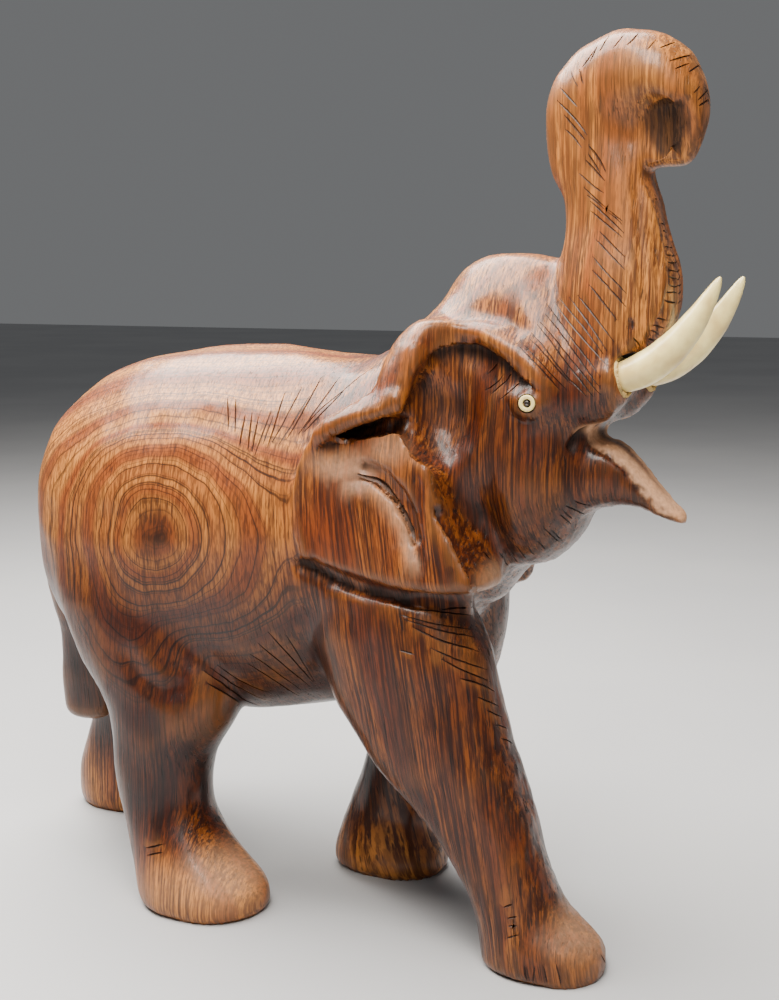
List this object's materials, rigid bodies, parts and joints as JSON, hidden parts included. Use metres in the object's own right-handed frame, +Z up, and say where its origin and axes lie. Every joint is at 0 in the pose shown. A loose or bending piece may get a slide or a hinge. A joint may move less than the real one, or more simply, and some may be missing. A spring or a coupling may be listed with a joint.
{
  "type": "carved wooden elephant figurine",
  "caption": "Carved hardwood elephant in mid-stride with a raised curled trunk, inset tusks and eyes, standing on four flat soles.",
  "frame": {"origin": "on the ground plane, under the middle of the whole object's box", "axes": "+X the way the elephant faces, +Y to its left, +Z up from the soles to the curled trunk"},
  "size_m": [0.233, 0.0958, 0.246],
  "materials": {
    "rosewood": "waxed and polished, orange-brown with near-black grain streaks",
    "tusk_resin": "smooth satin cream",
    "sawdust_filler": "rough crumbs of sawdust set in glue",
    "eye_ring": "polished cream",
    "eye_pin": "polished near-black"
  },
  "bodies": {
    "root": {"carved_body": "rosewood", "tusk_right": "tusk_resin", "tusk_left": "tusk_resin", "tusk_filler_right": "sawdust_filler", "tusk_filler_left": "sawdust_filler", "eye_ring_right": "eye_ring", "eye_ring_left": "eye_ring", "eye_pin_right": "eye_pin", "eye_pin_left": "eye_pin"}
  },
  "joints": []
}
